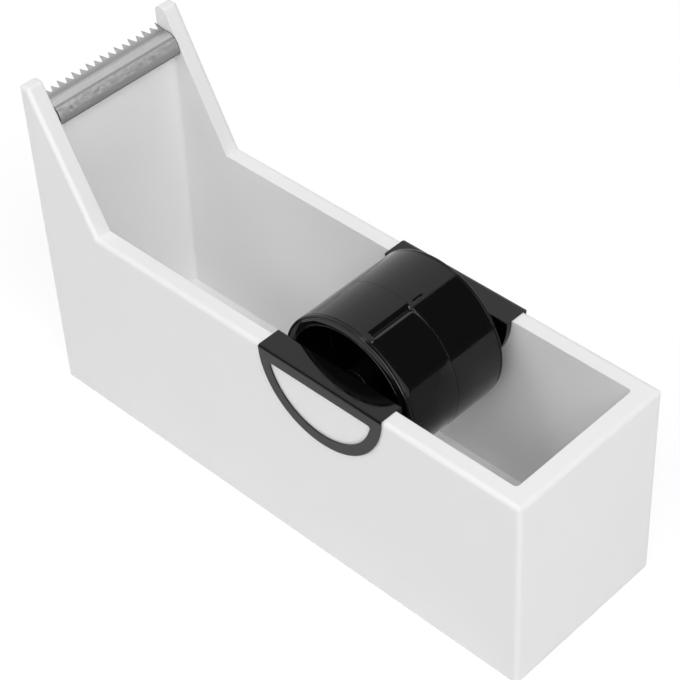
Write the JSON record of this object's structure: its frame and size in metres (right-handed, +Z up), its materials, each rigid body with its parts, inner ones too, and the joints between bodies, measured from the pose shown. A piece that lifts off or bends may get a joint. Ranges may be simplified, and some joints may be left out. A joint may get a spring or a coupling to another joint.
{
  "type": "desktop tape dispenser",
  "caption": "Weighted open-tray desktop dispenser for wide packing tape, with a toothed steel cutter on its tall end and a lift-out reel hung on the rim.",
  "frame": {"origin": "on the surface the feet stand on, below the middle of the overall length and width", "axes": "+X runs along the tray from the tall cutter end to the low end, +Y across it to the far wall, +Z up"},
  "size_m": [0.2912, 0.093, 0.1748],
  "materials": {
    "tray_plastic": "satin moulded, white",
    "base_plastic": "fine moulded texture, white",
    "ballast_steel": "plain sheared bar",
    "screw_steel": "zinc plated",
    "foot_rubber": "matt",
    "blade_steel": "bright stainless strip",
    "hanger_plastic": "polished moulded, black",
    "drum_plastic": "polished moulded, black"
  },
  "bodies": {
    "tray": {"body_shell": "tray_plastic", "base_plate": "base_plastic", "ballast_bar_tall_end": "ballast_steel", "ballast_bar_low_end": "ballast_steel", "base_screws": "screw_steel", "rubber_feet": "foot_rubber", "cutter_blade": "blade_steel"},
    "reel_frame": {"hanger_near": "hanger_plastic", "hanger_far": "hanger_plastic"},
    "drum": {"drum_near_half": "drum_plastic", "drum_far_half": "drum_plastic"}
  },
  "joints": [
    {"name": "reel_lift", "type": "slide", "parent": "tray", "child": "reel_frame", "axis": [0, 0, 1], "range_m": [0, 0.065]},
    {"name": "drum_spin", "type": "hinge", "parent": "reel_frame", "child": "drum", "pos_m": [0.03662, 0, 0.091], "axis": [0, 1, 0], "continuous": true}
  ]
}
